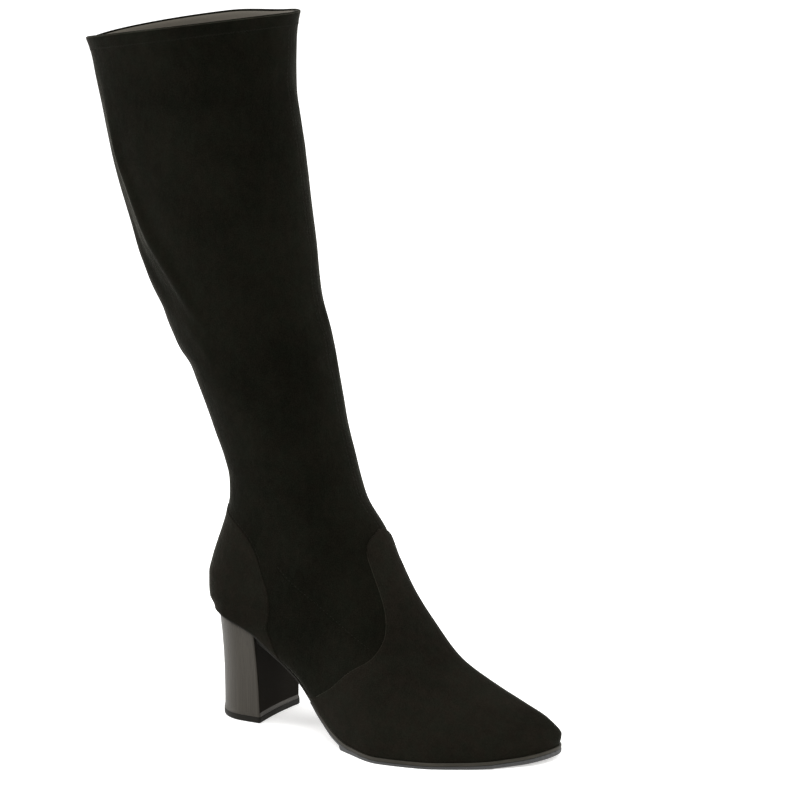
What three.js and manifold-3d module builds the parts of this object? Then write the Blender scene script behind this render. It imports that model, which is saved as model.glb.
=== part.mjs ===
// Knee-high boot with a block heel: the right boot of a pair, standing empty on its sole.
// Millimetres. +X points to the toe, +Y to the medial side (the wearer's left), +Z up.
// The origin is the centre of the top lift's wearing face, on the ground.
import * as THREE from 'three';
import Module from 'manifold-3d';
import { mergeVertices } from 'three/addons/utils/BufferGeometryUtils.js';

// Driving sizes
const WALL = 1.9;               // thickness of the upper, suede with its lining
const GAP = 0.3;                // clearance between curved pieces that meet
const OVERLAY_GAP = 0.5;        // under the overlays
const OVERLAY = 0.9;            // thickness of the vamp and counter overlays
const HEM_HEIGHT = 9;           // folded band at the collar
const HEM_THICKNESS = 0.9;
const RIM_RISE = { lateral: 2, medial: 3.8 };   // the rim stands higher at the sides
const AROUND = 60;              // points round one loop of the upper
const SHAFT_FROM = 10;          // level at which the foot has become the shaft

// The profile of the boot in side view, level by level. Level 0 is the feather edge on the sole,
// the last one is the collar rim. Every level joins a point of the back to a point of the front.
const PROFILE = {
  columns: ['level', 'backX', 'backZ', 'frontX', 'frontZ'],
  rows: [
    [0, -18, 69.3, 213.5, 8.5],
    [1, -21.2, 75.3, 214.5, 14.5],
    [2, -21.8, 83, 204.5, 24.5],
    [3, -21.8, 91, 188, 32.3],
    [4, -19.6, 100, 168, 42.5],
    [5, -16.2, 110, 147.5, 55],
    [6, -12.4, 120, 130.5, 74],
    [7, -8.8, 131, 117, 92],
    [8, -7, 142, 106, 111],
    [9, -7.5, 152, 95, 130],
    [10, -11, 164, 82, 146],
    [11, -17, 178, 77, 160],
    [12, -24, 195, 72, 178],
    [13, -32, 213, 67, 197],
    [14, -44, 231, 62, 222],
    [15, -56, 254, 57.5, 244],
    [16, -67.5, 277, 49.5, 272],
    [17, -75.5, 300, 46.5, 298],
    [18, -84, 325, 43, 327],
    [19, -92, 352, 39, 356],
    [20, -98.5, 382, 34, 388],
    [21, -102.5, 401, 33, 418],
    [22, -107, 415, 35, 438.5],
  ],
};

// The feather line in side view: height of the upper's lower edge along the foot
const FEATHER = {
  columns: ['x', 'z'],
  rows: [
    [-21, 69], [-10, 68.2], [5, 65], [20, 59], [35, 48.5], [50, 37.5], [62, 26.5], [72, 17.5],
    [85, 9], [100, 5], [125, 4.2], [150, 4.2], [175, 4.5], [200, 6.2], [214.5, 8.5],
  ],
};

// The foot in plan: the ridge's sideways place, then half-widths from the ridge to each side,
// at the feather edge and at the fullest height of the foot above it
const PLAN = {
  columns: ['x', 'ridge', 'lateral', 'medial', 'lateralFull', 'medialFull'],
  rows: [
    [-25, 0, 27, 27, 28.5, 28.5],
    [0, 0, 28, 27.5, 29.5, 29],
    [25, 0, 27.5, 26.5, 31, 30],
    [50, -1, 26, 26, 32, 30.5],
    [75, -1, 33, 29.5, 36, 32],
    [100, 0, 45.5, 33, 46.5, 34.5],
    [125, 1, 55, 34, 56, 35],
    [150, 2, 51.5, 32, 52, 32.5],
    [175, 4, 42, 28, 42, 28],
    [190, 6, 37, 25, 37, 25],
    [202, 7, 33.5, 23, 33.5, 23],
    [215, 8, 34, 24, 34, 24],
  ],
};

// The shaft's half-widths and the depths over which its front and back round off
const SHAFT = {
  columns: ['level', 'lateral', 'medial', 'backRound', 'frontRound'],
  rows: [
    [0, 30, 29, 27, 40],
    [3, 31, 30, 29, 36],
    [5, 31, 30, 31, 64],
    [7, 31, 31, 34, 74],
    [8, 31.5, 31.5, 38, 68],
    [9, 32, 32, 43, 58],
    [10, 33, 33, 46, 47],
    [12, 33.5, 33.5, 48, 48],
    [14, 36, 36, 53, 53],
    [16, 38, 38, 59.5, 59.5],
    [18, 39.5, 39.5, 65, 65],
    [20, 40.5, 40.5, 68.5, 68.5],
    [22, 42, 43, 72, 72],
  ],
};

// The vamp's two edges, as angles round the loop in half turns: 1 is the ridge
const VAMP = {
  columns: ['level', 'lateral', 'medial'],
  rows: [
    [0, 0.4, 1.56], [1.4, 0.438, 1.54], [2.4, 0.48, 1.505], [3.2, 0.525, 1.465], [4, 0.584, 1.402],
    [5, 0.69, 1.303], [5.8, 0.763, 1.228], [6.5, 0.796, 1.199], [7.2, 0.81, 1.181],
    [7.9, 0.813, 1.169], [8.4, 0.833, 1.137], [8.7, 0.88, 1.09], [8.95, 0.965, 1.025],
  ],
};

// The counter's front edges, the same on both sides, and the shape of its top edge from the
// back seam (0) to the front corner (1)
const COUNTER = {
  columns: ['level', 'angle'],
  rows: [[0, 0.335], [2, 0.331], [3.5, 0.353], [5, 0.37], [6.2, 0.377], [7.5, 0.36]],
};
const COUNTER_TOP = {
  columns: ['part', 'level'],
  rows: [[0, 7.45], [0.4, 7.3], [0.75, 7.12], [0.88, 6.92], [0.96, 6.5], [1, 5.95]],
};

// The zip's line on the medial side, as angles round the loop in half turns
const ZIP = {
  columns: ['level', 'angle'],
  rows: [[2, 1.56], [4.5, 1.537], [7, 1.55], [9, 1.535], [11, 1.512], [14, 1.508]],
};
const ZIP_BOTTOM = 2;           // level at which the coil starts
const ZIP_TOP = 13.1;           // level at which it ends under the slider
const COIL_WIDTH = 4.4;
const COIL_THICKNESS = 1.2;
const SLIDER = { level: 13.55, width: 8, length: 11, thickness: 2.4 };
const BRIDGE = { width: 2.6, length: 7, thickness: 0.9, tunnel: 2.4 };
const PULL = { width: 7.5, length: 24.5, thickness: 1.3, slotWidth: 3.7, slotLength: 8.5, bar: 0.65 };

// A column of a table, as a smooth function of its first column without overshoot
function column(table, name, from = table.columns[0]) {
  const a = table.columns.indexOf(from);
  const b = table.columns.indexOf(name);
  const xs = table.rows.map((row) => row[a]);
  const ys = table.rows.map((row) => row[b]);
  const last = xs.length - 1;
  const slope = (i) => (ys[i + 1] - ys[i]) / (xs[i + 1] - xs[i]);
  const tangent = xs.map((x, i) => {
    if (i === 0) return slope(0);
    if (i === last) return slope(last - 1);
    const p = slope(i - 1);
    const q = slope(i);
    return p * q <= 0 ? 0 : 2 * p * q / (p + q);
  });
  return (x) => {
    if (x <= xs[0]) return ys[0] + tangent[0] * (x - xs[0]);
    if (x >= xs[last]) return ys[last] + tangent[last] * (x - xs[last]);
    let i = 0;
    while (x > xs[i + 1]) i += 1;
    const h = xs[i + 1] - xs[i];
    const t = (x - xs[i]) / h;
    const t2 = t * t;
    const t3 = t2 * t;
    return ys[i] * (2 * t3 - 3 * t2 + 1) + tangent[i] * h * (t3 - 2 * t2 + t)
      + ys[i + 1] * (3 * t2 - 2 * t3) + tangent[i + 1] * h * (t3 - t2);
  };
}

const columns = (table) => Object.fromEntries(table.columns.slice(1).map((n) => [n, column(table, n)]));
const profile = columns(PROFILE);
const plan = columns(PLAN);
const shaft = columns(SHAFT);
const featherZ = column(FEATHER, 'z');
const COLLAR = PROFILE.rows[PROFILE.rows.length - 1][0];

const mix = (a, b, t) => a + (b - a) * t;
const clamp = (t, low = 0, high = 1) => Math.min(high, Math.max(low, t));
const ease = (low, high, t) => {
  const k = clamp((t - low) / (high - low));
  return k * k * (3 - 2 * k);
};

// The place in side view of a part s of a level, back to front, with the arch's sag low down
function sidePoint(s, level) {
  const x = mix(profile.backX(level), profile.frontX(level), s);
  const chord = mix(profile.backZ(level), profile.frontZ(level), s);
  const x0 = mix(profile.backX(0), profile.frontX(0), s);
  const sag = featherZ(x0) - mix(profile.backZ(0), profile.frontZ(0), s);
  const fade = (1 - clamp(level / SHAFT_FROM)) ** 1.35;
  return { x, z: chord + sag * fade };
}

// Points along the back (s 0) and the front (s 1) in side view, to measure distances from
const STEPS = 6;
const edgePoints = (s) => Array.from({ length: COLLAR * STEPS + 1 }, (_, i) => {
  const level = i / STEPS;
  return { level, ...sidePoint(s, level) };
});
const backEdge = edgePoints(0);
const frontEdge = edgePoints(1);

// The shortest way from a point to an edge, and the level at which it ends. own is the edge's
// place at the point's own level.
function nearest(edge, x, z, own) {
  let best = { distance: Math.hypot(x - own.x, z - own.z), level: own.level };
  for (let i = 0; i + 1 < edge.length; i += 1) {
    const a = edge[i];
    const b = edge[i + 1];
    const dx = b.x - a.x;
    const dz = b.z - a.z;
    const t = clamp(((x - a.x) * dx + (z - a.z) * dz) / (dx * dx + dz * dz));
    const distance = Math.hypot(x - a.x - dx * t, z - a.z - dz * t);
    if (distance < best.distance) best = { distance, level: mix(a.level, b.level, t) };
  }
  return best;
}

// How full the width is at a part q of the rounding depth, 0 at the edge to 1
const rounding = (q, power) => (1 - (1 - clamp(q)) ** power) ** (1 / power);

// A point of the upper's outer face. side is -1 lateral, +1 medial.
function facePoint(s, level, side) {
  const { x, z } = sidePoint(s, level);
  const toShaft = ease(3.5, SHAFT_FROM, level);
  const above = 1 - Math.exp(-Math.max(0, z - featherZ(x)) / 7);
  const name = side < 0 ? 'lateral' : 'medial';
  const foot = mix(plan[name](x), plan[`${name}Full`](x), above);
  const width = mix(foot, shaft[name](level), toShaft);
  const back = nearest(backEdge, x, z, { level, ...sidePoint(0, level) });
  const front = nearest(frontEdge, x, z, { level, ...sidePoint(1, level) });
  const power = mix(1.9, 2.1, toShaft);
  const full = rounding(back.distance / shaft.backRound(back.level), 2.1)
    * rounding(front.distance / shaft.frontRound(front.level), power);
  const ridge = plan.ridge(x) * (1 - toShaft);
  const toFront = side < 0 ? 1 : 1 - 0.75 * ease(0.5, 0.85, s);
  const rise = RIM_RISE[name] * toFront * full * ease(COLLAR - 4, COLLAR, level);
  return new THREE.Vector3(x, ridge + side * width * full, z + rise);
}

// The outer face as a function of the angle round the loop: 0 back, half a turn front,
// the lateral side first
const TURN = Math.PI * 2;
function face(angle, level) {
  const a = ((angle % TURN) + TURN) % TURN;
  const s = (1 - Math.cos(a)) / 2;
  return facePoint(s, level, a <= Math.PI ? -1 : 1);
}

function normal(angle, level) {
  const d = 0.035;
  const low = Math.max(0, level - 0.15);
  const high = Math.min(COLLAR, level + 0.15);
  const along = face(angle + d, level).sub(face(angle - d, level));
  const up = face(angle, high).sub(face(angle, low));
  const n = along.cross(up);
  if (level === 0) n.z = 0;
  return n.normalize();
}

// The same face moved outwards by a distance
const skin = (angle, level, out) => face(angle, level).addScaledVector(normal(angle, level), out);

// A mesh from points and faces, turned outwards. Points that coincide become one, and faces
// without area go.
function solid(name, color, roughness, allPoints, allFaces) {
  const places = new Map();
  const points = [];
  const index = allPoints.map((p) => {
    const key = [p.x, p.y, p.z].map((t) => Math.round(t * 1e4)).join();
    if (!places.has(key)) places.set(key, points.push(p) - 1);
    return places.get(key);
  });
  const faces = allFaces.map((f) => f.map((i) => index[i]))
    .filter(([a, b, c]) => a !== b && b !== c && c !== a);
  const flat = points.flatMap((p) => [p.x, p.y, p.z]);
  let volume = 0;
  for (const [a, b, c] of faces) {
    volume += points[a].dot(points[b].clone().cross(points[c]));
  }
  const turned = volume < 0 ? faces.map(([a, b, c]) => [a, c, b]) : faces;
  const geometry = new THREE.BufferGeometry();
  geometry.setAttribute('position', new THREE.Float32BufferAttribute(flat, 3));
  geometry.setIndex(turned.flat());
  geometry.computeVertexNormals();
  const mesh = new THREE.Mesh(geometry, new THREE.MeshStandardMaterial({ color, roughness, metalness: 0 }));
  mesh.name = name;
  return mesh;
}

const quad = (faces, a, b, c, d) => faces.push([a, b, c], [a, c, d]);

// A wall between two grids of points. Round: the columns close on themselves.
function wall(outer, inner, round) {
  const rows = outer.length;
  const cols = outer[0].length;
  const points = [...outer.flat(), ...inner.flat()];
  const o = (i, j) => i * cols + (j % cols);
  const n = (i, j) => rows * cols + i * cols + (j % cols);
  const faces = [];
  const lastCol = round ? cols : cols - 1;
  for (let j = 0; j < lastCol; j += 1) {
    for (let i = 0; i + 1 < rows; i += 1) {
      quad(faces, o(i, j), o(i, j + 1), o(i + 1, j + 1), o(i + 1, j));
      quad(faces, n(i, j), n(i + 1, j), n(i + 1, j + 1), n(i, j + 1));
    }
    quad(faces, o(0, j), n(0, j), n(0, j + 1), o(0, j + 1));
    quad(faces, o(rows - 1, j), o(rows - 1, j + 1), n(rows - 1, j + 1), n(rows - 1, j));
  }
  if (!round) {
    for (let i = 0; i + 1 < rows; i += 1) {
      quad(faces, o(i, 0), o(i + 1, 0), n(i + 1, 0), n(i, 0));
      quad(faces, o(i, cols - 1), n(i, cols - 1), n(i + 1, cols - 1), o(i + 1, cols - 1));
    }
  }
  return { points, faces };
}

// A stack of loops, bottom to top, closed across at both ends. Point j of a loop and point
// (count - j) stand opposite each other.
function stack(loops) {
  const count = loops[0].length;
  const points = loops.flat();
  const faces = [];
  loops.slice(1).forEach((_, i) => {
    for (let j = 0; j < count; j += 1) {
      const k = (j + 1) % count;
      quad(faces, i * count + j, i * count + k, (i + 1) * count + k, (i + 1) * count + j);
    }
  });
  const cap = (base, up) => {
    const add = (a, b, c) => faces.push(up ? [base + a, base + b, base + c] : [base + a, base + c, base + b]);
    for (let j = 0; j < count / 2; j += 1) {
      const opposite = (count - j) % count;
      if (j > 0) add(j, j + 1, opposite);
      if (j + 1 < count / 2) add(j + 1, count - j - 1, opposite);
    }
  };
  cap(0, false);
  cap((loops.length - 1) * count, true);
  return { points, faces };
}

const range = (count, low, high) => Array.from({ length: count }, (_, i) => mix(low, high, i / (count - 1)));
const ring = Array.from({ length: AROUND }, (_, j) => TURN * j / AROUND);

// Upper
const LEVELS = [0, 0.35, 0.8, 1.4, 2, 2.6, 3.2, 3.8, 4.4, 5, 6, 7, 8, 9, 10, 11, 12, 13, 14, 15, 16, 17,
  18, 19, 20, 21, 22];
function upper() {
  const outer = LEVELS.map((level) => ring.map((a) => skin(a, level, 0)));
  const inner = LEVELS.map((level) => ring.map((a) => skin(a, level, -WALL)));
  const { points, faces } = wall(outer, inner, true);
  return solid('upper', 0x17161a, 0.95, points, faces);
}

// A loop at the feather edge: moved outwards and put at a height under or over the feather line
function featherLoop(out, lift) {
  return ring.map((a) => {
    const edge = face(a, 0);
    const n = normal(a, 0);
    const flat = new THREE.Vector3(n.x, n.y, 0).normalize();
    const p = edge.addScaledVector(flat, out);
    p.z = featherZ(p.x) + lift;
    return p;
  });
}

function insole() {
  const edge = -WALL - GAP - 0.3;
  const { points, faces } = stack([featherLoop(edge, 0.1), featherLoop(edge - 0.2, 1.9)]);
  return solid('insole', 0x1f1d1f, 0.8, points, faces);
}

// Outsole: thicker and wider under the forefoot, thin and tucked in at the waist and the seat
const SOLE = {
  columns: ['x', 'thickness', 'edge'],
  rows: [
    [-25, 1.5, -0.9], [16, 1.5, -0.9], [26, 1.7, -0.1], [45, 2.2, 0.3], [62, 2.6, 0.6], [72, 3.4, 0.9],
    [90, 3.9, 1.3], [150, 3.9, 1.3], [172, 4.1, 1.3], [190, 4.6, 1.4], [214, 5.2, 1.4],
  ],
};
const sole = columns(SOLE);
function outsole() {
  const level = (part, inset) => ring.map((a) => {
    const edge = face(a, 0);
    const n = normal(a, 0);
    const flat = new THREE.Vector3(n.x, n.y, 0).normalize();
    const p = edge.clone().addScaledVector(flat, sole.edge(edge.x) - inset);
    p.z = Math.max(0, featherZ(p.x) - GAP - part * sole.thickness(p.x));
    if (part === 1 && p.x > 92 && p.x < 172) p.z = 0;
    return p;
  });
  const { points, faces } = stack([level(1, 0.9), level(0.75, 0), level(0.2, 0), level(0, 0.5)]);
  return solid('outsole', 0x2b2b2e, 0.55, points, faces);
}

// Heel block: flat breast at the front, rounded back, tapering down to the lift
const HEEL = {
  columns: ['part', 'breast', 'back', 'lateral', 'medial'],
  rows: [
    [0, 22.2, -12.2, 23, 24.8],
    [0.3, 21.4, -12.2, 23, 26.2],
    [0.6, 20.6, -12.6, 23.6, 26.6],
    [0.85, 19.9, -13.6, 24.6, 26.4],
    [1, 19.5, -14.6, 25.4, 26],
  ],
};
const heel = columns(HEEL);
const LIFT_HEIGHT = 4;
const RIM = 0.5;                // the lift stands out all round by this much
const SEAT_PLATE = 1.5 + GAP * 2;
function heelLoop(part, inset) {
  const breast = heel.breast(part) - inset;
  const back = heel.back(part) + inset;
  const centre = mix(back, breast, 0.62);
  const sides = 22;
  const across = 4;
  const one = (side) => {
    const half = (side < 0 ? heel.lateral(part) : heel.medial(part)) - inset;
    return (t) => {
      const a = t * Math.PI / 2;
      return [centre - (centre - back) * Math.cos(a), side * half * Math.sin(a) ** 0.92];
    };
  };
  const lateral = one(-1);
  const medial = one(1);
  const half = sides / 2;
  const list = [];
  for (let j = 0; j < half; j += 1) list.push(lateral(j / half));
  for (let j = 0; j <= 2; j += 1) list.push([mix(centre, breast, j / 2), lateral(1)[1] * mix(1, 0.985, j / 2)]);
  for (let j = 1; j < across; j += 1) {
    const y = mix(lateral(1)[1] * 0.985, medial(1)[1] * 0.985, j / across);
    list.push([breast - 1.2 * Math.sin(Math.PI * j / across), y]);
  }
  for (let j = 2; j >= 0; j -= 1) list.push([mix(centre, breast, j / 2), medial(1)[1] * mix(1, 0.985, j / 2)]);
  for (let j = half - 1; j > 0; j -= 1) list.push(medial(j / half));
  return list;
}
function heelBlock() {
  const loops = [0, 0.035, 0.2, 0.4, 0.6, 0.8, 1].map((part) => heelLoop(part, part === 0 ? -RIM : 0)
    .map(([x, y]) => new THREE.Vector3(x, y, mix(LIFT_HEIGHT + 0.1, featherZ(x) - SEAT_PLATE - GAP, part))));
  const { points, faces } = stack(loops);
  return solid('heel_block', 0x3a3a3d, 0.4, points, faces);
}
function topLift() {
  const at = (z, inset) => heelLoop(0, inset).map(([x, y]) => new THREE.Vector3(x, y, z));
  const { points, faces } = stack([at(0, -0.2), at(0.8, -RIM), at(LIFT_HEIGHT, -RIM)]);
  return solid('top_lift', 0x222224, 0.6, points, faces);
}

// The upper's outer face between its own loops, flat over each triangle, moved outwards
const corner = LEVELS.map((level) => ring.map((angle) => face(angle, level)));
function onFacets(angle, level, out) {
  const a = ((angle % TURN) + TURN) % TURN / (TURN / AROUND);
  const j = Math.min(AROUND - 1, Math.floor(a));
  const next = (j + 1) % AROUND;
  let i = 0;
  while (i + 2 < LEVELS.length && level > LEVELS[i + 1]) i += 1;
  const g = a - j;
  const f = clamp((level - LEVELS[i]) / (LEVELS[i + 1] - LEVELS[i]));
  const [low, high] = [corner[i], corner[i + 1]];
  const place = low[j].clone();
  if (g >= f) {
    place.addScaledVector(low[next].clone().sub(low[j]), g);
    place.addScaledVector(high[next].clone().sub(low[next]), f);
  } else {
    place.addScaledVector(high[j].clone().sub(low[j]), f);
    place.addScaledVector(high[next].clone().sub(high[j]), g);
  }
  return place.addScaledVector(normal(angle, level), out);
}

// An overlay: a patch of the upper's own face, moved outwards by the gap and by its thickness.
// The grid holds pairs of angle and level. Its lower edge stands off a little more.
function overlay(name, color, grid, thickness, round = false) {
  const at = (out) => grid.map((row) => row.map(([angle, level]) => {
    const place = onFacets(angle, level, out + 0.3 * (1 - ease(0, 1.5, level)));
    if (level === 0) place.z += 0.2;
    return place;
  }));
  const { points, faces } = wall(at(OVERLAY_GAP + thickness), at(OVERLAY_GAP), round);
  return solid(name, color, 0.95, points, faces);
}

// The upper's own angles from a middle line out to an edge, and the edge itself. Columns beyond
// the edge, or close to it, close up on it.
function ownAngles(edge, count) {
  const step = TURN / AROUND;
  return Array.from({ length: count }, (_, i) => (i + 1) * step)
    .map((a) => (a < edge - 0.35 * step ? a : edge));
}

const VAMP_LEVELS = [0, 0.35, 0.8, 1.4, 2, 2.3, 2.6, 2.9, 3.2, 3.5, 3.8, 4.1, 4.4, 4.7, 5, 5.5, 6, 7, 8,
  8.4, 8.7, 8.95];
function vamp() {
  const edge = columns(VAMP);
  const grid = VAMP_LEVELS.map((level) => {
    const lateral = ownAngles(Math.PI * (1 - edge.lateral(level)), 19).map((a) => Math.PI - a);
    const medial = ownAngles(Math.PI * (edge.medial(level) - 1), 19).map((a) => Math.PI + a);
    return [...lateral.reverse(), Math.PI, ...medial].map((a) => [a, level]);
  });
  return overlay('vamp', 0x151417, grid, OVERLAY);
}

function counter() {
  const edge = column(COUNTER, 'angle');
  const top = column(COUNTER_TOP, 'level');
  const grid = [...LEVELS.filter((level) => level <= 6), 6.7, top(0)].map((level) => {
    const width = edge(level) * Math.PI;
    const side = ownAngles(width, 11);
    return [...side.map((a) => -a).reverse(), 0, ...side].map((a) => {
      const lowered = top(Math.abs(a) / width) / top(0);
      return [a, level * mix(1, lowered, ease(2, 7, level))];
    });
  });
  return overlay('counter', 0x151417, grid, OVERLAY);
}

function hemBand() {
  const grid = [COLLAR - HEM_HEIGHT / 17.5, COLLAR - 0.25, COLLAR].map((level) => ring.map((a) => [a, level]));
  return overlay('hem_band', 0x17161a, grid, HEM_THICKNESS, true);
}

// Zip: a coil in the medial seam, a slider at its top and a pull tab that hangs from the slider
function zipCoil() {
  const middle = column(ZIP, 'angle');
  const levels = [ZIP_BOTTOM, ...LEVELS.filter((level) => level > ZIP_BOTTOM && level < ZIP_TOP), ZIP_TOP];
  const at = (out) => levels.map((level) => {
    const perMm = 2 / (profile.frontX(level) - profile.backX(level));
    return [-1, 0, 1].map((side) => onFacets(Math.PI * middle(level) + side * perMm * COIL_WIDTH / 2, level, out));
  });
  const { points, faces } = wall(at(GAP + COIL_THICKNESS), at(GAP), false);
  return solid('zip_coil', 0x1b1b1d, 0.5, points, faces);
}

// The slider's frame: z out of the boot, x level along it, y up it
function sliderFrame() {
  const angle = Math.PI * column(ZIP, 'angle')(SLIDER.level);
  const out = normal(angle, SLIDER.level);
  const across = new THREE.Vector3(0, 0, 1).cross(out).normalize();
  const up = out.clone().cross(across);
  const place = skin(angle, SLIDER.level, GAP + 0.25);
  return new THREE.Matrix4().makeBasis(across, up, out).setPosition(place);
}
const AXIS_HEIGHT = SLIDER.thickness + BRIDGE.tunnel / 2;

const wasm = await Module();
wasm.setup();
function toManifold(geometry) {
  const bare = geometry.clone();
  bare.deleteAttribute('normal');
  bare.deleteAttribute('uv');
  const merged = mergeVertices(bare, 1e-4);
  return new wasm.Manifold(new wasm.Mesh({
    numProp: 3,
    vertProperties: new Float32Array(merged.attributes.position.array),
    triVerts: new Uint32Array(merged.index.array),
  }));
}
function fromManifold(manifold) {
  const mesh = manifold.getMesh();
  const geometry = new THREE.BufferGeometry();
  geometry.setAttribute('position', new THREE.Float32BufferAttribute(mesh.vertProperties, 3));
  geometry.setIndex(Array.from(mesh.triVerts));
  geometry.computeVertexNormals();
  return geometry;
}
function metal(name, geometry) {
  const material = new THREE.MeshStandardMaterial({ color: 0x1a1a1c, roughness: 0.25, metalness: 0.9 });
  const mesh = new THREE.Mesh(geometry, material);
  mesh.name = name;
  return mesh;
}

function zipSlider() {
  const w = SLIDER.width / 2;
  const l = SLIDER.length / 2;
  const outline = new THREE.Shape();
  outline.moveTo(-w * 0.62, -l);
  outline.lineTo(w * 0.62, -l);
  outline.lineTo(w, l * 0.25);
  outline.lineTo(w * 0.9, l * 0.8);
  outline.lineTo(w * 0.5, l);
  outline.lineTo(-w * 0.5, l);
  outline.lineTo(-w * 0.9, l * 0.8);
  outline.lineTo(-w, l * 0.25);
  outline.closePath();
  const body = new THREE.ExtrudeGeometry(outline, { depth: SLIDER.thickness, bevelEnabled: false });
  const half = BRIDGE.length / 2;
  const foot = SLIDER.thickness - 0.6;
  const roof = SLIDER.thickness + BRIDGE.tunnel;
  const arch = new THREE.Shape();
  arch.moveTo(-half, foot);
  arch.lineTo(-half + BRIDGE.thickness, foot);
  arch.lineTo(-half + BRIDGE.thickness, roof - 0.5);
  arch.lineTo(-half + BRIDGE.thickness + 0.5, roof);
  arch.lineTo(half - BRIDGE.thickness - 0.5, roof);
  arch.lineTo(half - BRIDGE.thickness, roof - 0.5);
  arch.lineTo(half - BRIDGE.thickness, foot);
  arch.lineTo(half, foot);
  arch.lineTo(half, roof - 0.2);
  arch.lineTo(half - 1.1, roof + BRIDGE.thickness);
  arch.lineTo(-half + 1.1, roof + BRIDGE.thickness);
  arch.lineTo(-half, roof - 0.2);
  arch.closePath();
  const bridge = new THREE.ExtrudeGeometry(arch, { depth: BRIDGE.width, bevelEnabled: false });
  // the arch is drawn along y and z and extruded along x
  bridge.applyMatrix4(new THREE.Matrix4().makeBasis(
    new THREE.Vector3(0, 1, 0), new THREE.Vector3(0, 0, 1), new THREE.Vector3(1, 0, 0),
  ));
  bridge.translate(-BRIDGE.width / 2, 0, 0);
  const mesh = metal('zip_slider', fromManifold(toManifold(body).add(toManifold(bridge))));
  mesh.applyMatrix4(sliderFrame());
  return mesh;
}

// The pull tab hangs straight down from the pin that runs under the bridge
function pullHinge() {
  return new THREE.Vector3(0, 0, AXIS_HEIGHT).applyMatrix4(sliderFrame());
}
function zipPull() {
  const w = PULL.width / 2;
  const top = PULL.bar;
  const bottom = PULL.bar - PULL.length;
  const cut = 1.2;
  const outline = new THREE.Shape();
  outline.moveTo(-w + cut, bottom);
  outline.lineTo(w - cut, bottom);
  outline.lineTo(w, bottom + cut);
  outline.lineTo(w, top - cut);
  outline.lineTo(w - cut, top);
  outline.lineTo(-w + cut, top);
  outline.lineTo(-w, top - cut);
  outline.lineTo(-w, bottom + cut);
  outline.closePath();
  const s = PULL.slotWidth / 2;
  const slot = new THREE.Path();
  slot.moveTo(-s, -PULL.bar);
  slot.lineTo(-s, -PULL.bar - PULL.slotLength + 0.8);
  slot.lineTo(-s + 0.8, -PULL.bar - PULL.slotLength);
  slot.lineTo(s - 0.8, -PULL.bar - PULL.slotLength);
  slot.lineTo(s, -PULL.bar - PULL.slotLength + 0.8);
  slot.lineTo(s, -PULL.bar);
  slot.closePath();
  outline.holes.push(slot);
  const geometry = new THREE.ExtrudeGeometry(outline, { depth: PULL.thickness, bevelEnabled: false });
  geometry.translate(0, 0, -PULL.thickness / 2);
  const mesh = metal('zip_pull', geometry);
  const across = new THREE.Vector3().setFromMatrixColumn(sliderFrame(), 0);
  const down = new THREE.Vector3(0, 0, 1);
  mesh.applyMatrix4(new THREE.Matrix4().makeBasis(across, down, across.clone().cross(down))
    .setPosition(pullHinge()));
  return mesh;
}

const boot = new THREE.Group();
boot.name = 'knee_boot';
boot.add(
  upper(), vamp(), counter(), hemBand(), insole(), outsole(), heelBlock(), topLift(),
  zipCoil(), zipSlider(), zipPull(),
);

export default boot;
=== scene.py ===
# Knee-high boot in black micro-suede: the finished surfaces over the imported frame.
# Tables hold millimetres, angles round the upper in half turns (0 back, 1 front, the lateral side
# first) and levels up the upper (0 feather edge, 22 collar), as the frame's own shape has them.
import math
import bpy
import numpy as np
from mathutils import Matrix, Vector, noise


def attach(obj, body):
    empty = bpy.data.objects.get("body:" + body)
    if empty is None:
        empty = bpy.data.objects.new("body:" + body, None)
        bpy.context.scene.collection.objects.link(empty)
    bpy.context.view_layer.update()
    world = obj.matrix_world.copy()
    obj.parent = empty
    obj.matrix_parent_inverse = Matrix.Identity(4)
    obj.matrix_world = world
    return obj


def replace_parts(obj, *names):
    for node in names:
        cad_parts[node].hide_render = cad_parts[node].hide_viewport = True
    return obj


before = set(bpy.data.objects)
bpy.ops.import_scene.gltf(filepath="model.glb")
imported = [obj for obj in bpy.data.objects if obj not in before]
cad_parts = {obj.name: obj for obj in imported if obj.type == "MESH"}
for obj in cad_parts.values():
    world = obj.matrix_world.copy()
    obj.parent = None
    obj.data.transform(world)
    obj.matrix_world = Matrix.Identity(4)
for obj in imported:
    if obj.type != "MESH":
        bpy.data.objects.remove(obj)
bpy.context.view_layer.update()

MM = 0.001
COLLAR = 22  # level of the rim
WALL = 1.9  # thickness of the upper
GAP = 0.3  # left between pieces that touch
RIM_RISE = {"lateral": 2, "medial": 3.8}  # at the collar's sides, above the line from back to front
SHAFT_FROM = 10  # level above which the form is all shaft
BACK_POWER = 2.1  # how squarely the ends of a level are rounded
TOE_POWER = 1.9
SAG_POWER = 1.35
FOOT_SWELL = 7  # above the feather edge, where the foot gets its full width
ZIP_CALM = 14.2  # level below which the zip keeps folds away
SIDES = 6  # of a thread or wire
COARSE = 1


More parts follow.
